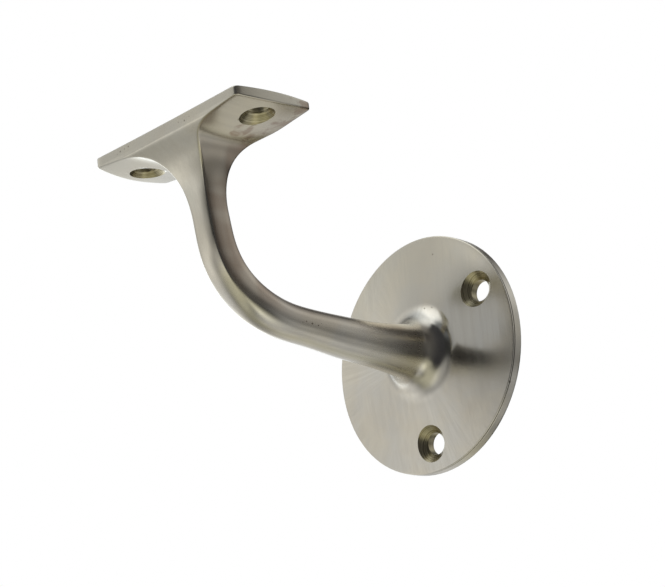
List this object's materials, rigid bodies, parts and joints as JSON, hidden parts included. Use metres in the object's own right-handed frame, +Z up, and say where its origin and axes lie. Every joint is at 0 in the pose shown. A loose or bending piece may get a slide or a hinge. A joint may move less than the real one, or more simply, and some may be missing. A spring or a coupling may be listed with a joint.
{
  "type": "handrail bracket",
  "caption": "Cast handrail bracket: a domed wall rose, a curved arm and a flared saddle plate that is screwed up into the rail.",
  "frame": {"origin": "centre of the wall rose's flat back face, on the wall", "axes": "+Y into the wall, -Y along the projection of the arm, +Z up towards the rail, X along the rail"},
  "size_m": [0.064, 0.0883, 0.0814],
  "materials": {
    "satin_nickel": "satin nickel plate over brushed brass"
  },
  "bodies": {
    "root": {"bracket_casting": "satin_nickel"}
  },
  "joints": []
}
